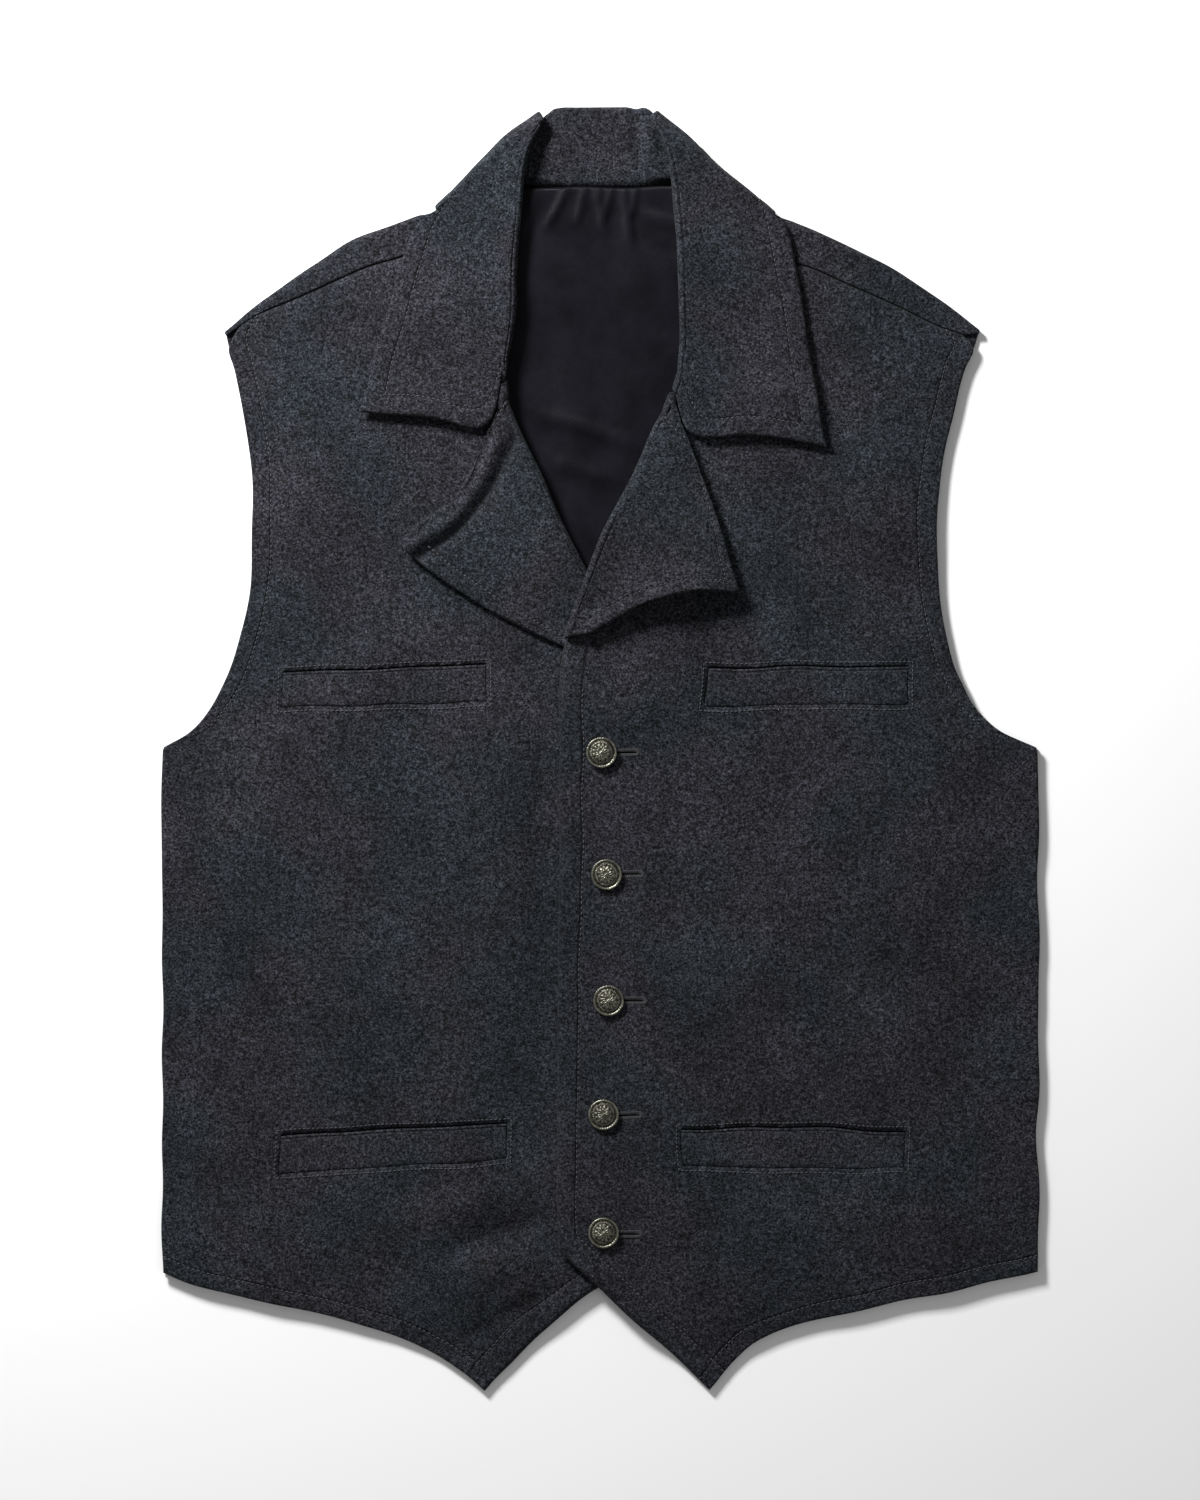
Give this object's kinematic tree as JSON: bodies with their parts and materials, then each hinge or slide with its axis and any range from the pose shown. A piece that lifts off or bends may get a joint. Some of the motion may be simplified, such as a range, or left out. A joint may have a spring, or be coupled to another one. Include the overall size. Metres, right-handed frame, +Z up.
{
  "type": "western vest",
  "caption": "Buttoned wool western vest laid flat on its back, with notched lapels, wide turned-down collar, welt pockets, pointed front hem and round metal buttons.",
  "frame": {"origin": "on the ground under the middle of the vest's outline", "axes": "+Z up from the surface it lies on, +Y from the hem towards the collar, +X towards the wearer's left front"},
  "size_m": [0.526, 0.7704, 0.0228],
  "materials": {
    "wool": "matte heathered charcoal melton wool, milled, with flat lockstitch edges",
    "satin_lining": "near-black satin lining, soft sheen",
    "button_metal": "aged pewter-coloured cast metal, worn bright on the raised parts"
  },
  "bodies": {
    "root": {"back_panel": "wool", "front_right": "wool", "front_left": "wool", "lapel_right": "wool", "lapel_left": "wool", "collar": "wool", "welt_upper_right": "wool", "welt_upper_left": "wool", "welt_lower_right": "wool", "welt_lower_left": "wool", "back_lining": "satin_lining", "button_1": "button_metal", "button_2": "button_metal", "button_3": "button_metal", "button_4": "button_metal", "button_5": "button_metal"}
  },
  "joints": []
}
